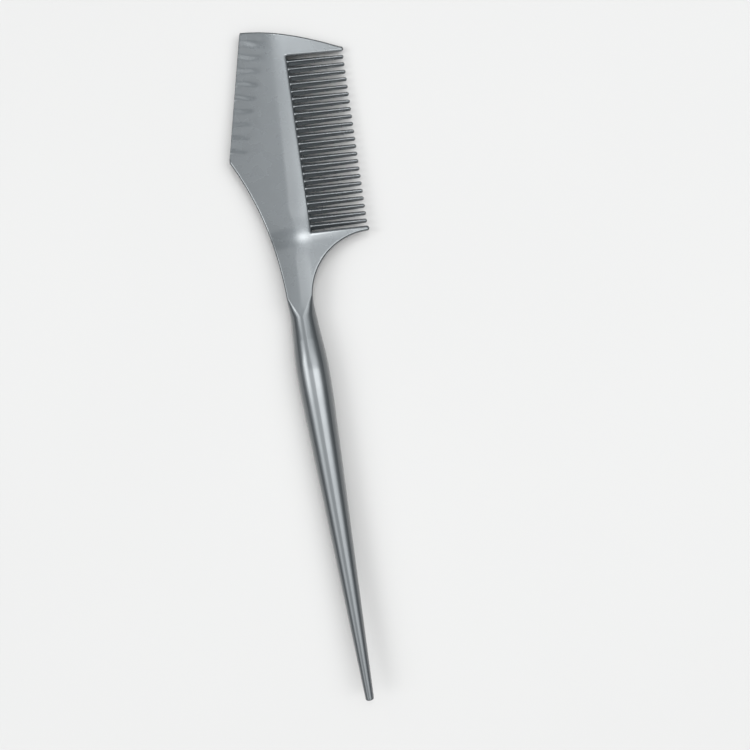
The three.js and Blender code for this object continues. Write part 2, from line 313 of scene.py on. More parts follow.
def head_outline(step):
    """Points clockwise from the neck's left side at HEAD_Y round the head to its right side at HEAD_Y."""
    left = []
    y = HEAD_Y
    while y < EDGE_LOW[1] - CORNER_RADIUS:
        left.append(np.array([float(outer_x(y)), y]))
        y += step
    dome_end = GUARD_TIP + [-DOME_OVERLAP, GUARD_TIP_RADIUS]
    low = round_corner(left[-1], EDGE_LOW, EDGE_TOP, LOW_CORNER_RADIUS, step)
    top = round_corner(EDGE_LOW, EDGE_TOP, TOP_BEND, CORNER_RADIUS, step)
    points = left + low + line(low[-1], top[0], step)[1:] + top
    points += quadratic(top[-1], TOP_BEND, dome_end, step)[1:]
    guard_under = GUARD_TIP - [0, GUARD_TIP_RADIUS]
    points += arc(GUARD_TIP, GUARD_TIP_RADIUS, math.pi / 2, -math.pi / 2, TIP_STEP)
    points += line(guard_under, ROOT_TOP, step) + line(ROOT_TOP, ROOT_LOW, step)
    points += line(ROOT_LOW, HORN_TIP + [0, GUARD_TIP_RADIUS], step)
    points += arc(HORN_TIP, GUARD_TIP_RADIUS, math.pi / 2, -math.pi / 2, TIP_STEP)
    end = math.pi - math.asin((HEAD_Y - HORN_CENTRE[1]) / HORN_RADIUS)
    points += arc(HORN_CENTRE, HORN_RADIUS, math.pi / 2, end, step)
    points.append(np.array([float(horn_x(HEAD_Y)), HEAD_Y]))
    return np.array(points)


OUTLINE = head_outline(STEP)


def full_outline():
    """The head's outline with both sides of the neck and grip added, for measuring distances."""
    ys = np.arange(GRIP_Y - 4, HEAD_Y, STEP)
    left = np.stack([outer_x(ys), ys], 1)
    right = np.stack([horn_x(ys), ys], 1)[::-1]
    return np.concatenate([left, OUTLINE, right])


BORDER = full_outline()
HEAD_START = len(np.arange(GRIP_Y - 4, HEAD_Y, STEP))


def border_normals():
    """Outward direction at each point of the border, averaged over its two stretches."""
    run = np.diff(BORDER, axis=0)
    side = np.stack([-run[:, 1], run[:, 0]], 1)
    side = side / np.maximum(np.linalg.norm(side, axis=1), 1e-9)[:, None]
    total = np.concatenate([side[:1], side[:-1] + side[1:], side[-1:]])
    return total / np.maximum(np.linalg.norm(total, axis=1), 1e-9)[:, None]


BORDER_NORMALS = border_normals()


def edge_distance(points):
    """Distance to the outline, the outward direction there and the nearest point on the outline."""
    start, end = BORDER[:-1], BORDER[1:]
    run = end - start
    length2 = np.maximum((run**2).sum(1), 1e-12)
    distance = np.empty(len(points))
    nearest = np.empty((len(points), 2))
    side = np.empty((len(points), 2))
    for first in range(0, len(points), 2000):
        block = points[first : first + 2000]
        t = ((block[:, None] - start) * run).sum(2) / length2
        foot = start + np.clip(t, 0, 1)[..., None] * run
        away = ((block[:, None] - foot) ** 2).sum(2)
        best = away.argmin(1)
        rows = np.arange(len(block))
        distance[first : first + 2000] = np.sqrt(away[rows, best])
        nearest[first : first + 2000] = foot[rows, best]
        share = np.clip(t[rows, best], 0, 1)[:, None]
        side[first : first + 2000] = BORDER_NORMALS[best] * (1 - share) + BORDER_NORMALS[best + 1] * share
    outward = nearest - points
    size = np.linalg.norm(outward, axis=1)
    side = side / np.linalg.norm(side, axis=1)[:, None]
    outward = np.where(size[:, None] > 1e-5, outward / np.maximum(size, 1e-9)[:, None], side)
    return distance, outward, nearest


# ---------------------------------------------------------------- surface

ALONG = (EDGE_TOP - EDGE_LOW) / np.linalg.norm(EDGE_TOP - EDGE_LOW)
INWARD = np.array([ALONG[1], -ALONG[0]])
EDGE_LENGTH = float(np.linalg.norm(EDGE_TOP - EDGE_LOW))
ROOT_SLOPE = (ROOT_TOP[0] - ROOT_LOW[0]) / (ROOT_TOP[1] - ROOT_LOW[1])


def blade_middle(y):
    """The line along which the blade is thickest, halfway between its outer side and the comb's roots."""
    bristle_edge = EDGE_LOW[0] + (y - EDGE_LOW[1]) * ALONG[0] / ALONG[1]
    outer = np.where(y < EDGE_LOW[1], outer_x(np.minimum(y, EDGE_LOW[1])), bristle_edge)
    root = ROOT_LOW[0] + ROOT_SLOPE * (y - ROOT_LOW[1])
    inner = np.minimum(root, horn_x(np.minimum(y, ROOT_LOW[1] - 2)))
    return (outer + inner) / 2


def middle_line():
    """The blade's middle line smoothed along Y, as a table."""
    ys = np.arange(*Y_SPAN, 0.5)
    kernel = np.hanning(25)
    raw = blade_middle(ys)
    padded = np.pad(raw, 12, mode="edge")
    return ys, np.convolve(padded, kernel / kernel.sum(), mode="valid")


MIDDLE_Y, MIDDLE_X = middle_line()


def ramp_table():
    """How much of the way down from the round handle to the flat blade the ramp has come at each Y."""
    ys = np.arange(*Y_SPAN, 0.1)
    slope = np.interp(ys, *zip(*RAMP_STEEPNESS))
    kernel = np.hanning(35)
    fallen = np.cumsum(np.convolve(slope, kernel, mode="same"))
    return ys, fallen / fallen[-1]


RAMP_Y, RAMP_SHARE = ramp_table()


def ramp_height(y):
    """Half thickness along the middle, from the round handle down to the flat blade."""
    top = handle_radius(np.minimum(y, NECK_Y))
    return top + (BLADE_HALF - top) * np.interp(y, RAMP_Y, RAMP_SHARE)


def face(points):
    """Half thickness before the edges are rounded: the ramp less crowns, fall to the comb and sink marks."""
    x, y = points[:, 0], points[:, 1]
    on_head = smoothstep(FACE_START_Y, FACE_FULL_Y, y)
    outwards = np.maximum(np.interp(y, MIDDLE_Y, MIDDLE_X) - x, 0)
    crown = CROWN_CURVE * outwards**2 / 2 * on_head
    reach = np.clip(x - NECK_CROWN_X, -NECK_CROWN_REACH, NECK_CROWN_REACH)
    past_reach = np.abs(x - NECK_CROWN_X) - np.abs(reach)
    bow = NECK_CROWN * (reach**2 / 2 + NECK_CROWN_REACH * past_reach)
    bow = bow * smoothstep(*NECK_CROWN_RISE, y) * smoothstep(*NECK_CROWN_FALL, y)
    past = SPINE_REACH + x - ROOT_LOW[0] - ROOT_SLOPE * (y - ROOT_LOW[1])
    bend = np.clip(past, 0, SPINE_REACH)
    fall = SPINE_FALL * (bend**2 / (2 * SPINE_REACH) + np.maximum(past - SPINE_REACH, 0))
    return ramp_height(y) - crown - bow - fall * on_head - sink_marks(points)


def sink_marks(points):
    """Shallow hollows where the plastic shrank over each tuft socket, with a fine groove between them."""
    local = points - EDGE_TOP
    run = -(local @ ALONG)
    depth = local @ INWARD
    phase = (run - SOCKET_FIRST) / SOCKET_PITCH
    inside = smoothstep(-0.9, -0.3, phase) * smoothstep(SOCKET_COUNT + 0.1, SOCKET_COUNT - 0.6, phase)
    bend = 0.12 * np.sin(0.9 * depth + 1.7 * np.floor(phase))
    wave = 0.5 + 0.5 * np.cos(2 * np.pi * (phase + bend * 0.3))
    fade = np.exp(-((np.maximum(depth, 0) / SINK_REACH) ** 4))
    weld = np.exp(-(((np.mod(phase, 1) - 0.5) * SOCKET_PITCH / WELD_WIDTH) ** 2))
    weld = weld * np.exp(-((np.maximum(depth, 0) / WELD_REACH) ** 2))
    return inside * (SINK_DEPTH * wave * fade + WELD_DEPTH * weld)


def rounding(nearest):
    """Width and radius of the rounded edge: round on the handle, small on the head, a bevel by the comb."""
    x, y = nearest[:, 0], nearest[:, 1]
    half_width = np.where(y < HEAD_Y, (horn_x(y) - outer_x(np.minimum(y, HEAD_Y))) / 2, EDGE_ROUND)
    full = np.minimum(half_width, ramp_height(y))
    square = np.clip((y - SQUARE_START_Y) / (SQUARE_END_Y - SQUARE_START_Y), 0, 1)
    radius = np.where(y < SQUARE_END_Y, full + (EDGE_ROUND - full) * square, EDGE_ROUND)
    run = (nearest - EDGE_LOW) @ ALONG
    on_bristle_edge = np.abs((nearest - EDGE_LOW) @ INWARD) < BRISTLE_EDGE_BAND
    on_bristle_edge = on_bristle_edge * smoothstep(0, BRISTLE_EDGE_FADE, run)
    on_bristle_edge = on_bristle_edge * smoothstep(EDGE_LENGTH, EDGE_LENGTH - BRISTLE_EDGE_FADE, run)
    radius = radius + (BRISTLE_EDGE_ROUND - radius) * on_bristle_edge
    share = (x - ROOT_TOP[0]) / (GUARD_TIP[0] - ROOT_TOP[0])
    guard_y = ROOT_TOP[1] + (GUARD_TIP[1] - GUARD_TIP_RADIUS - ROOT_TOP[1]) * share
    horn_y = ROOT_LOW[1] + (HORN_TIP[1] + GUARD_TIP_RADIUS - ROOT_LOW[1]) * share
    facing = (x > ROOT_LOW[0] - 0.1) * smoothstep(guard_y + BEVEL_FADE, guard_y, y)
    facing = facing * smoothstep(horn_y - BEVEL_FADE, horn_y, y)
    width = radius + (COMB_BEVEL_WIDTH - radius) * facing
    return width, radius + (COMB_BEVEL_RADIUS - radius) * facing


def surface(points):
    """The upper face's height and normal at each point, and the distance and direction of the outline."""
    distance, outward, nearest = edge_distance(points)
    width, radius = rounding(nearest)
    lean = np.clip((width - distance) / radius, 0, 1)
    rise = np.sqrt(1 - lean**2)
    land = EDGE_LAND * (points[:, 1] > HEAD_Y)
    height = np.maximum(face(points) - radius * (1 - rise), land)
    step = 0.02
    slope_x = (face(points + [step, 0]) - face(points - [step, 0])) / (2 * step)
    slope_y = (face(points + [0, step]) - face(points - [0, step])) / (2 * step)
    up = np.stack([-slope_x, -slope_y, np.ones(len(points))], 1)
    up = up / np.linalg.norm(up, axis=1)[:, None]
    normal = up * rise[:, None]
    normal[:, :2] += outward * lean[:, None]
    return height, normal / np.linalg.norm(normal, axis=1)[:, None], distance, outward


# ---------------------------------------------------------------- mesh building

class Shell:
    """Vertices, faces and the normal at each face corner of one closed piece."""

    def __init__(self):
        self.vertices, self.faces, self.normals = [], [], []

    def add_vertices(self, points):
        first = len(self.vertices)
        self.vertices.extend(np.asarray(points, float).tolist())
        return list(range(first, len(self.vertices)))

    def add_face(self, corners, normals=None):
        """Adds a face. Given normals also settle which way it faces. Without them it is shaded flat."""
        kept = [i for i, c in enumerate(corners) if c not in corners[:i]]
        if len(kept) < 3:
            return
        corners = [corners[i] for i in kept]
        places = np.array([self.vertices[c] for c in corners])
        flat = np.cross(places, np.roll(places, -1, axis=0)).sum(0)
        flat = flat / max(np.linalg.norm(flat), 1e-12)
        if normals is None:
            normals = [flat] * len(corners)
        else:
            normals = [normals[i] for i in kept]
            if np.sum(normals, axis=0) @ flat < 0:
                corners, normals = corners[::-1], normals[::-1]
        self.faces.append(corners)
        self.normals.extend([tuple(n) for n in normals])

    def make(self, name, material):
        mesh = bpy.data.meshes.new(name)
        mesh.from_pydata(to_frame(self.vertices).tolist(), [], self.faces)
        mesh.polygons.foreach_set("use_smooth", [True] * len(mesh.polygons))
        if self.normals:
            mesh.normals_split_custom_set(self.normals)
        mesh.materials.append(material)
        piece = bpy.data.objects.new(name, mesh)
        bpy.context.scene.collection.objects.link(piece)
        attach(piece, "root")
        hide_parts(name)
        return piece


# ---------------------------------------------------------------- handle and neck

def cross_row(y):
    """Points across the neck at y, from its left side to its right, close together near the sides."""
    left, right = float(outer_x(np.array(y))), float(horn_x(np.array(y)))
    return np.stack([(left + right) / 2 + (right - left) / 2 * COLUMN_SHARE, np.full(COLUMNS + 1, y)], 1)


def add_section(shell, points, height, normal):
    """One cross-section: the upper half, the ridge on the right, the lower half, the ridge on the left."""
    width = points[-1, 0] - points[0, 0]
    scale = min(1, width / 2)
    height = np.maximum(height, RIDGE_HALF * scale)
    upper = shell.add_vertices(np.column_stack([points, height]))
    lower = shell.add_vertices(np.column_stack([points, -height]))
    left = shell.add_vertices([[points[0, 0] - RIDGE * scale, points[0, 1], 0]])
    right = shell.add_vertices([[points[-1, 0] + RIDGE * scale, points[-1, 1], 0]])
    ring = upper + right + lower[::-1] + left
    normals = list(normal) + [None] + list(normal[::-1] * [1, 1, -1]) + [None]
    return ring, normals


def tube_piece(name, sections, material):
    """A closed piece through a row of cross-sections, each one its points, heights and normals."""
    shell = Shell()
    rings = [add_section(shell, *section) for section in sections]
    for (low, n_low), (high, n_high) in zip(rings, rings[1:]):
        for i in range(len(low)):
            k = (i + 1) % len(low)
            corners = [low[i], low[k], high[k], high[i]]
            if n_low[i] is None or n_low[k] is None:
                shell.add_face(corners)
            else:
                shell.add_face(corners, [n_low[i], n_low[k], n_high[k], n_high[i]])
    ends = [(rings[0][0], -1), (rings[-1][0], 1)]
    for ring, way in ends:
        shell.add_face(ring, [(0, way, 0)] * len(ring))
    return shell.make(name, material)


def round_section(radius, y, slope):
    """A round section where the radius grows by slope per unit of Y."""
    points = np.stack([radius * COLUMN_SHARE, np.full(COLUMNS + 1, y)], 1)
    rise = np.sqrt(1 - COLUMN_SHARE**2)
    normal = np.stack([COLUMN_SHARE, np.full(COLUMNS + 1, -slope), rise], 1)
    return points, radius * rise, normal / math.hypot(1, slope)


def handle_sections(start, end, step=1.0):
    """Round sections of the handle from start to end along Y."""
    count = round((end - start) / step)
    reach = 0.05
    sections = []
    for i in range(count + 1):
        y = start + (end - start) * i / count
        slope = float(handle_radius(y + reach) - handle_radius(y - reach)) / (2 * reach)
        sections.append(round_section(float(handle_radius(y)), y, slope))
    return sections


def tail_end_sections():
    """The tail's end: a nearly flat face with a rounded rim."""
    start = float(handle_radius(TAIL_RIM)) - TAIL_RIM
    nearly_flat = 100.0
    sections = [round_section(start * share, 0.0, nearly_flat) for share in (0.3, 0.95)]
    steps = 8
    for i in range(1, steps):
        angle = math.pi / 2 * i / steps
        y = TAIL_RIM * (1 - math.cos(angle))
        sections.append(round_section(start + TAIL_RIM * math.sin(angle), y, 1 / math.tan(angle)))
    return sections


def neck_sections():
    """Sections that change from the round handle to the head's flat section."""
    sections = [handle_sections(GRIP_END_Y, GRIP_END_Y + 1)[0]]
    count = round((HEAD_Y - GRIP_END_Y) / NECK_STEP)
    for j in range(1, count + 1):
        points = cross_row(GRIP_END_Y + (HEAD_Y - GRIP_END_Y) * j / count)
        height, normal, _, _ = surface(points)
        sections.append((points, height, normal))
    return sections


# ---------------------------------------------------------------- head

def spine_line(y):
    """The point at y on the line between the blade and the comb's spine."""
    return np.array([ROOT_LOW[0] - SPINE_WIDTH + ROOT_SLOPE * (y - ROOT_LOW[1]), y])


RAIL_LOW = EDGE_LOW + INWARD * RAIL_WIDTH


def region_lines():
    """The lines that part one region of the head from the next. Some run on past the outline."""
    return [
        (EDGE_LOW - INWARD, RAIL_LOW),
        (RAIL_LOW, RAIL_LOW + ALONG * (EDGE_LENGTH + 3)),
        (spine_line(HEAD_Y), spine_line(EDGE_TOP[1] + 2)),
        (spine_line(ROOT_TOP[1]), ROOT_TOP),
        (spine_line(ROOT_LOW[1]), ROOT_LOW),
    ]


def region_of(point):
    """Name of the piece of the head that a point of the plan belongs to."""
    local = point - EDGE_LOW
    if local @ ALONG > 0 and local @ INWARD < RAIL_WIDTH:
        return "bristle_rail"
    if point[0] < spine_line(point[1])[0]:
        return "blade"
    if ROOT_LOW[1] < point[1] < ROOT_TOP[1] and point[0] < ROOT_TOP[0]:
        return "comb_spine"
    return "upper_guard" if point[1] > (ROOT_LOW[1] + ROOT_TOP[1]) / 2 else "lower_guard"


def inside_outline(points):
    """Even-odd test against the head's outline."""
    x, y = points[:, 0], points[:, 1]
    inside = np.zeros(len(points), bool)
    for a, b in zip(OUTLINE, np.roll(OUTLINE, -1, axis=0)):
        if a[1] == b[1]:
            continue
        crosses = (a[1] > y) != (b[1] > y)
        inside ^= crosses & (x < a[0] + (y - a[1]) / (b[1] - a[1]) * (b[0] - a[0]))
    return inside


def grid_points(step, low, high):
    """Points between two corners in rows, every other row moved half a step."""
    xs, ys = np.meshgrid(np.arange(low[0], high[0], step), np.arange(low[1], high[1], step))
    xs = xs + (np.arange(xs.shape[0])[:, None] % 2) * step / 2
    return np.stack([xs.ravel(), ys.ravel()], 1)


def inner_points():
    """Points inside the head: rows close to the border, then a grid, finer beside the bristle edge."""
    rows = []
    for offset in EDGE_OFFSETS:
        row = OUTLINE[1:-1] - BORDER_NORMALS[HEAD_START + 1 : HEAD_START + len(OUTLINE) - 1] * offset
        row = row[inside_outline(row)]
        rows.append(row[edge_distance(row)[0] > offset * 0.98])
    low, high = OUTLINE.min(0), OUTLINE.max(0)
    for step, beside_edge in ((GRID, False), (RAIL_GRID, True)):
        grid = grid_points(step, low, high)
        local = grid - EDGE_LOW
        in_rail = (local @ INWARD < RAIL_WIDTH + RAIL_MARGIN) & (local @ ALONG > -1)
        grid = grid[in_rail == beside_edge]
        grid = grid[inside_outline(grid)]
        rows.append(grid[edge_distance(grid)[0] > EDGE_OFFSETS[-1] + GRID_MARGIN])
    inner = np.concatenate(rows)
    return inner[inner[:, 1] > HEAD_Y + NECK_MARGIN]


def triangulate_head():
    """The head's plan as triangles, with the border and the region lines kept as edges."""
    loop = np.concatenate([OUTLINE, cross_row(HEAD_Y)[::-1][1:-1]])
    edges = [(i, (i + 1) % len(loop)) for i in range(len(loop))]
    points = [Vector(p) for p in np.concatenate([loop, inner_points()])]
    for start, end in region_lines():
        count = round(math.dist(start, end) / STEP)
        first = len(points)
        points += [Vector(start + (end - start) * i / count) for i in range(count + 1)]
        edges += [(first + i, first + i + 1) for i in range(count)]
    plan, _, triangles, _, _, _ = delaunay_2d_cdt(points, edges, [], 1, 1e-6)
    plan = np.array([tuple(p) for p in plan])
    triangles = np.array([t for t in triangles if len(t) == 3])
    middle = plan[triangles].mean(1)
    return plan, triangles[inside_outline(middle) & (middle[:, 1] > HEAD_Y)]


def boundary(triangles):
    """Directed edges that only one of the triangles has."""
    edges = np.concatenate([triangles[:, [0, 1]], triangles[:, [1, 2]], triangles[:, [2, 0]]])
    have = {tuple(e) for e in edges}
    return [(a, b) for a, b in have if (b, a) not in have]


def wall_normal(a, b, own):
    """The border's smoothed normal where it agrees with the wall's own, else the wall's own."""
    run = b - a
    flat = np.array([run[1], -run[0]]) / np.linalg.norm(run)
    chosen = own if own @ flat > 0.8 else flat
    return np.array([chosen[0], chosen[1], 0])


def head_piece(name, plan, triangles, outer, shape, material):
    """One region of the head: its upper and lower faces, its outside walls and its cut sides."""
    height, normal, outward = shape
    shell = Shell()
    used = sorted(set(triangles.ravel()))
    upper = dict(zip(used, shell.add_vertices(np.column_stack([plan[used], height[used]]))))
    lower = dict(zip(used, shell.add_vertices(np.column_stack([plan[used], -height[used]]))))
    for triangle in triangles:
        shell.add_face([upper[v] for v in triangle], [normal[v] for v in triangle])
        shell.add_face([lower[v] for v in triangle], [normal[v] * [1, 1, -1] for v in triangle])
    edges = boundary(triangles)
    rim = sorted({v for e in edges if e in outer or e[::-1] in outer for v in e})
    ridge_places = np.column_stack([plan[rim] + outward[rim] * RIDGE, np.zeros(len(rim))])
    ridge = dict(zip(rim, shell.add_vertices(ridge_places)))
    socket_edges = []
    for a, b in edges:
        if (a, b) not in outer:
            near_side = [upper[a], ridge.get(a, lower[a]), lower[a]]
            shell.add_face(near_side + [lower[b], ridge.get(b, lower[b]), upper[b]])
        elif name == "bristle_rail" and all(abs((plan[v] - EDGE_LOW) @ INWARD) < 1e-4 for v in (a, b)):
            socket_edges.append((a, b))
        else:
            sides = [wall_normal(plan[a], plan[b], outward[v]) for v in (a, a, b, b)]
            shell.add_face([upper[a], ridge[a], ridge[b], upper[b]], sides)
            shell.add_face([ridge[a], lower[a], lower[b], ridge[b]], sides)
    if socket_edges:
        add_socket_wall(shell, plan, socket_edges, height, upper, lower, ridge)
    return shell.make(name, material)


def add_socket_wall(shell, plan, edges, height, upper, lower, ridge):
    """The flat bristle edge with its row of blind round sockets."""
    columns = sorted({v for e in edges for v in e}, key=lambda v: (plan[v] - EDGE_LOW) @ ALONG)
    runs = [float((plan[v] - EDGE_LOW) @ ALONG) for v in columns]
    rim = [upper[v] for v in columns] + [ridge[columns[-1]]]
    rim += [lower[v] for v in columns[::-1]] + [ridge[columns[0]]]
    flat = [(r, height[v]) for r, v in zip(runs, columns)] + [(runs[-1], 0)]
    flat += [(r, -height[v]) for r, v in zip(runs[::-1], columns[::-1])] + [(runs[0], 0)]
    links = [(i, (i + 1) % len(flat)) for i in range(len(flat))]
    angles = [2 * math.pi * i / SOCKET_SIDES for i in range(SOCKET_SIDES)]
    outside = np.append(-INWARD, 0)

    def circle(run, radius, depth):
        centre = EDGE_LOW + ALONG * run + INWARD * depth
        return [[*(centre + ALONG * radius * math.cos(a)), radius * math.sin(a)] for a in angles]

    middles = [EDGE_LENGTH - SOCKET_FIRST - i * SOCKET_PITCH for i in range(SOCKET_COUNT)]
    mouth = SOCKET_RADIUS + SOCKET_MOUTH
    for run in middles:
        first = len(flat)
        flat += [(run + mouth * math.cos(a), mouth * math.sin(a)) for a in angles]
        links += [(first + i, first + (i + 1) % SOCKET_SIDES) for i in range(SOCKET_SIDES)]
        rings = [shell.add_vertices(circle(run, mouth, 0))]
        rim += rings[0]
        rings.append(shell.add_vertices(circle(run, SOCKET_RADIUS, SOCKET_MOUTH)))
        rings.append(shell.add_vertices(circle(run, SOCKET_RADIUS * 0.97, SOCKET_DEPTH)))
        inner = [np.append(-ALONG * math.cos(a), -math.sin(a)) for a in angles]
        for (near, far), tilt in zip(zip(rings, rings[1:]), (1, 0)):
            for i in range(SOCKET_SIDES):
                k = (i + 1) % SOCKET_SIDES
                faces_to = [inner[j] + outside * tilt for j in (i, k, k, i)]
                faces_to = [n / np.linalg.norm(n) for n in faces_to]
                shell.add_face([near[i], near[k], far[k], far[i]], faces_to)
        shell.add_face(rings[-1], [outside] * SOCKET_SIDES)
    flat = [Vector(p) for p in flat]
    places, _, triangles, origins, _, _ = delaunay_2d_cdt(flat, links, [], 1, 1e-6)
    for triangle in triangles:
        run, rise = np.mean([tuple(places[v]) for v in triangle], axis=0)
        if min(math.hypot(run - m, rise) for m in middles) > mouth * 0.99:
            shell.add_face([rim[origins[v][0]] for v in triangle], [outside] * 3)


def head_pieces(material):
    """The head's five pieces, cut from one triangulated plan."""
    plan, triangles = triangulate_head()
    height, normal, distance, outward = surface(plan)
    on_border = distance < 1e-4
    at_neck = np.abs(plan[:, 1] - HEAD_Y) < 1e-6
    edges = [(a, b) for a, b in boundary(triangles) if on_border[a] and on_border[b]]
    outer = {(a, b) for a, b in edges if not (at_neck[a] and at_neck[b])}
    names = np.array([region_of(p) for p in plan[triangles].mean(1)])
    for name in ("blade", "bristle_rail", "comb_spine", "upper_guard", "lower_guard"):
        head_piece(name, plan, triangles[names == name], outer, (height, normal, outward), material)


# ---------------------------------------------------------------- comb teeth

def tooth_section(u):
    """Half widths at the base and crest, half height and crest height of the tooth at u from its root."""
    along = np.clip(u / TOOTH_LENGTH, 0, 1)
    half = TOOTH_BASE_HALF + (TOOTH_END_HALF - TOOTH_BASE_HALF) * along
    crest = TOOTH_CREST_HALF + (TOOTH_END_CREST - TOOTH_CREST_HALF) * along**1.5
    height = TOOTH_ROOT_HEIGHT + (TOOTH_END_HEIGHT - TOOTH_ROOT_HEIGHT) * along
    cap = TOOTH_CREST_ROUND + (TOOTH_END_HEIGHT * TOOTH_END_ROUND - TOOTH_CREST_ROUND) * along**2
    flare = max(0.0, 1 - max(u, 0) / TOOTH_FILLET) ** 2
    nose = max(0.0, u - (TOOTH_LENGTH - TOOTH_END_HALF)) / TOOTH_END_HALF
    shrink = math.sqrt(max(0.0, 1 - nose * nose))
    half = (half + TOOTH_FILLET_BASE * flare) * shrink
    crest = (crest + TOOTH_FILLET_CREST * flare) * shrink
    height = height * (TOOTH_NOSE_HEIGHT + (1 - TOOTH_NOSE_HEIGHT) * shrink)
    return half, crest, height, cap * shrink


def tooth_ring(u):
    """The tooth's section at u as points of (across, up), all the way round."""
    half, crest, height, cap = tooth_section(u)
    shoulder = height - cap
    side = [(half + (crest - half) * t, shoulder * t) for t in (0, 0.05, 0.35, 0.7)]
    steps = 6
    angles = [math.pi / 2 * i / steps for i in range(steps + 1)]
    quarter = side + [(crest * math.cos(a), shoulder + cap * math.sin(a)) for a in angles]
    left = [(-x, z) for x, z in quarter[::-1][1:]]
    lower = [(x, -z) for x, z in (quarter + left)[::-1][1:-1]]
    return quarter + left + lower


def tooth_piece(index, material):
    """A drafted tooth with a narrow crest, square at the root and round at the tip."""
    y = ROOT_TOP[1] - FIRST_GAP - index * TOOTH_PITCH
    root = np.array([ROOT_LOW[0] + ROOT_SLOPE * (y - ROOT_LOW[1]), y])
    way = np.array([math.cos(TOOTH_TILT), math.sin(TOOTH_TILT)])
    side = np.array([-way[1], way[0]])
    stations = [-0.35, 0, 0.15, 0.35, 0.6, 1, 1.5, 2.5, 4, 6, 8, 10, 12, 14, 15.5, 17]
    nose = TOOTH_LENGTH - TOOTH_END_HALF
    stations += [nose + TOOTH_END_HALF * math.sin(math.pi / 2 * i / 9) for i in range(9)]
    shell = Shell()
    rings = []
    for u in stations:
        centre = root + way * u
        rings.append(shell.add_vertices([[*(centre + side * w), z] for w, z in tooth_ring(u)]))
    count = len(rings[0])
    for near, far in zip(rings, rings[1:]):
        for i in range(count):
            k = (i + 1) % count
            shell.faces.append([near[i], far[i], far[k], near[k]])
    shell.faces += [rings[0], rings[-1][::-1]]
    piece = shell.make(f"tooth_{index + 1:02d}", material)
    piece.data.set_sharp_from_angle(angle=TOOTH_CREASE)
    return piece


# ---------------------------------------------------------------- material

def combine(tree, operation, *values):
    """A Math node over values that are each a number or another node's output."""
    node = tree.nodes.new("ShaderNodeMath")
    node.operation = operation
    for socket, value in zip(node.inputs, values):
        if isinstance(value, (int, float)):
            socket.default_value = value
        else:
            tree.links.new(value, socket)
    return node.outputs[0]


def remap(tree, value, from_range, to_range=(0, 1)):
    """Moves a value from one range to another, held at the range's ends."""
    node = tree.nodes.new("ShaderNodeMapRange")
    for name, number in zip(("From Min", "From Max", "To Min", "To Max"), (*from_range, *to_range)):
        node.inputs[name].default_value = number
    tree.links.new(value, node.inputs["Value"])
    return node.outputs["Result"]


def object_place(tree):
    return tree.nodes.new("ShaderNodeTexCoord").outputs["Object"]


def noise(tree, scale, detail=3.0):
    node = tree.nodes.new("ShaderNodeTexNoise")
    node.inputs["Scale"].default_value = scale
    node.inputs["Detail"].default_value = detail
    tree.links.new(object_place(tree), node.inputs["Vector"])
    return node.outputs["Fac"]


def mix_colours(tree, share, first, second):
    node = tree.nodes.new("ShaderNodeMix")
    node.data_type = "RGBA"
    node.inputs["A"].default_value = (*first, 1)
    node.inputs["B"].default_value = (*second, 1)
    tree.links.new(share, node.inputs["Factor"])
    return node.outputs["Result"]


def pearl_plastic():
    """Silver-grey pearl plastic, moulded in colour: fine flakes under a gloss, more satin on the handle."""
    material = bpy.data.materials.new("pearl_plastic")
    material.use_nodes = True
    tree = material.node_tree
    nodes, links = tree.nodes, tree.links
    shader = nodes["Principled BSDF"]
    shader.inputs["Metallic"].default_value = METALLIC
    shader.inputs["Coat Weight"].default_value = COAT
    shader.inputs["Coat Roughness"].default_value = COAT_ROUGHNESS
    shader.inputs["Coat IOR"].default_value = COAT_IOR

    flakes = nodes.new("ShaderNodeTexVoronoi")
    flakes.inputs["Scale"].default_value = FLAKE_SCALE
    links.new(object_place(tree), flakes.inputs["Vector"])
    grain = nodes.new("ShaderNodeRGBToBW")
    links.new(flakes.outputs["Color"], grain.inputs["Color"])
    flake = grain.outputs[0]

    cloud = remap(tree, noise(tree, CLOUD_SCALE), NOISE_RANGE)
    cloud = combine(tree, "MULTIPLY", cloud, 1 - FLAKE_SHARE)
    shade = combine(tree, "ADD", cloud, combine(tree, "MULTIPLY", flake, FLAKE_SHARE))
    links.new(mix_colours(tree, shade, PEARL_DARK, PEARL_LIGHT), shader.inputs["Base Color"])

    axes = nodes.new("ShaderNodeSeparateXYZ")
    links.new(object_place(tree), axes.inputs[0])
    satin = remap(tree, axes.outputs["Y"], ROUGHNESS_CHANGE, (HANDLE_ROUGHNESS, HEAD_ROUGHNESS))
    spread = (-ROUGHNESS_SPREAD, ROUGHNESS_SPREAD)
    smear = remap(tree, noise(tree, SMEAR_SCALE), NOISE_RANGE, spread)
    links.new(combine(tree, "ADD", satin, smear), shader.inputs["Roughness"])

    bump = nodes.new("ShaderNodeBump")
    bump.inputs["Strength"].default_value = BUMP_STRENGTH
    bump.inputs["Distance"].default_value = BUMP_HEIGHT
    height = combine(tree, "ADD", noise(tree, BUMP_SCALE), combine(tree, "MULTIPLY", flake, FLAKE_BUMP))
    links.new(height, bump.inputs["Height"])
    links.new(bump.outputs["Normal"], shader.inputs["Normal"])
    return material


def table_material():
    material = bpy.data.materials.new("pale_table")
    material.use_nodes = True
    tree = material.node_tree
    shader = tree.nodes["Principled BSDF"]
    shader.inputs["Roughness"].default_value = TABLE_ROUGHNESS
    clouds = noise(tree, TABLE_CLOUD_SCALE, detail=2.0)
    tree.links.new(mix_colours(tree, clouds, TABLE_DARK, TABLE_LIGHT), shader.inputs["Base Color"])
    return material


# ---------------------------------------------------------------- stage

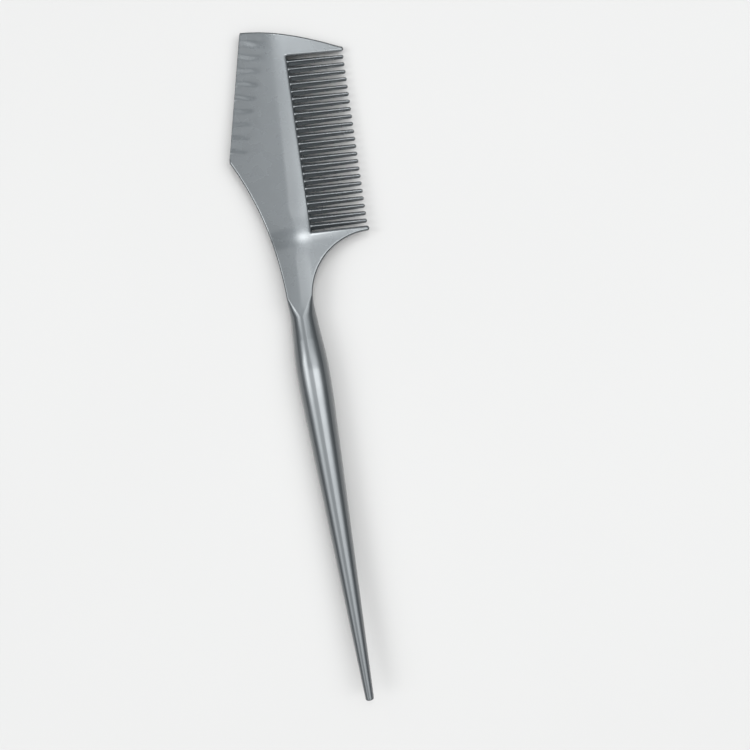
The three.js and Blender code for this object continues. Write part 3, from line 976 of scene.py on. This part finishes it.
def add_table():
    """A pale table that the brush lies on, sloped to pass just under the grip and the head's far end."""
    grip_bottom = to_frame([0, GRIP_Y, -GRIP_RADIUS])
    head_bottom = to_frame([0, EDGE_TOP[1] - 2, -BLADE_HALF])
    slope = math.atan2(head_bottom[2] - grip_bottom[2], head_bottom[1] - grip_bottom[1])
    corners = [(TABLE_HALF * x, TABLE_HALF * y, 0) for x, y in ((-1, -1), (1, -1), (1, 1), (-1, 1))]
    mesh = bpy.data.meshes.new("table")
    mesh.from_pydata(corners, [], [(0, 1, 2, 3)])
    mesh.materials.append(table_material())
    table = bpy.data.objects.new("table", mesh)
    table.location = grip_bottom - [0, 0, TABLE_GAP]
    table.rotation_euler = (slope, 0, 0)
    bpy.context.scene.collection.objects.link(table)


def add_camera():
    data = bpy.data.cameras.new("camera")
    data.sensor_width = 36
    data.lens = LENS
    data.clip_start = 0.01
    camera = bpy.data.objects.new("camera", data)
    camera.location = to_frame(CAMERA_PLACE)
    camera.rotation_euler = (0, 0, math.radians(CAMERA_TURN))
    bpy.context.scene.collection.objects.link(camera)
    bpy.context.scene.camera = camera


def light_ramp(tree, value, knots):
    """A brightness that follows straight stretches between knots of (angle in degrees, brightness)."""
    curve = tree.nodes.new("ShaderNodeFloatCurve")
    points = curve.mapping.curves[0].points
    highest = max(level for _, level in knots)
    places = [((angle + SKY_REACH) / (2 * SKY_REACH), level / highest) for angle, level in knots]
    while len(points) < len(places):
        points.new(0.5, 0.5)
    for point, place in zip(points, places):
        point.location = place
        point.handle_type = "VECTOR"
    curve.mapping.update()
    tree.links.new(value, curve.inputs["Value"])
    return combine(tree, "MULTIPLY", curve.outputs["Value"], highest)


def sky_angles(tree):
    """The sky direction's angles from straight up along X and along Y, as 0 to 1 over the sky's reach."""
    axes = tree.nodes.new("ShaderNodeSeparateXYZ")
    tree.links.new(tree.nodes.new("ShaderNodeTexCoord").outputs["Generated"], axes.inputs[0])
    reach = (-math.radians(SKY_REACH), math.radians(SKY_REACH))
    angles = [combine(tree, "ARCTAN2", axes.outputs[axis], axes.outputs["Z"]) for axis in ("X", "Y")]
    return [remap(tree, angle, reach) for angle in angles]


def lamp_light(tree, angles):
    """A small soft lamp: an oval spot that fades like a bell curve."""
    away = 0.0
    for share, middle, reach in zip(angles, LAMP_ANGLES, LAMP_REACH):
        offset = combine(tree, "MULTIPLY_ADD", share, 2 * SKY_REACH / reach, -(middle + SKY_REACH) / reach)
        away = combine(tree, "ADD", combine(tree, "MULTIPLY", offset, offset), away)
    fade = combine(tree, "EXPONENT", combine(tree, "MULTIPLY", away, -1))
    return combine(tree, "MULTIPLY", fade, LAMP)


def add_sky():
    """The studio: soft lights that each fade across and along the brush, a small lamp and dark sides.

    The lights are an overhead, a strip on its right, a side light on its left and a slanted panel towards
    the head. The camera itself sees an even pale backdrop in their place.
    """
    world = bpy.data.worlds.new("studio")
    world.use_nodes = True
    tree = world.node_tree
    across, along = sky_angles(tree)
    slant_start = PANEL_SLANT / 2 + PANEL_SLANT * PANEL_MIDDLE / (2 * SKY_REACH)
    slanted = combine(tree, "MULTIPLY_ADD", along, -PANEL_SLANT, across)
    slanted = combine(tree, "ADD", slanted, slant_start)
    lights = [
        (across, OVERHEAD_ACROSS, OVERHEAD_ALONG),
        (across, STRIP_ACROSS, STRIP_ALONG),
        (across, SIDE_ACROSS, SIDE_ALONG),
        (slanted, PANEL_ACROSS, PANEL_ALONG),
    ]
    level = combine(tree, "ADD", lamp_light(tree, (across, along)), SKY_BASE)
    for crosswise, across_knots, along_knots in lights:
        fades = light_ramp(tree, crosswise, across_knots), light_ramp(tree, along, along_knots)
        level = combine(tree, "ADD", level, combine(tree, "MULTIPLY", *fades))
    seen = tree.nodes.new("ShaderNodeLightPath").outputs["Is Camera Ray"]
    level = combine(tree, "MULTIPLY_ADD", seen, combine(tree, "SUBTRACT", BACKDROP, level), level)
    background = tree.nodes["Background"]
    background.inputs["Color"].default_value = (*SKY_COLOUR, 1)
    tree.links.new(level, background.inputs["Strength"])
    bpy.context.scene.world = world


plastic = pearl_plastic()
tube_piece("tail_tip", tail_end_sections() + handle_sections(TAIL_RIM, TIP_END_Y), plastic)
tube_piece("tail", handle_sections(TIP_END_Y, TAIL_END_Y), plastic)
tube_piece("grip", handle_sections(TAIL_END_Y, GRIP_END_Y), plastic)
tube_piece("neck", neck_sections(), plastic)
head_pieces(plastic)
for tooth_index in range(TOOTH_COUNT):
    tooth_piece(tooth_index, plastic)

bpy.context.scene.view_settings.view_transform = "Standard"
add_table()
add_sky()
add_camera()
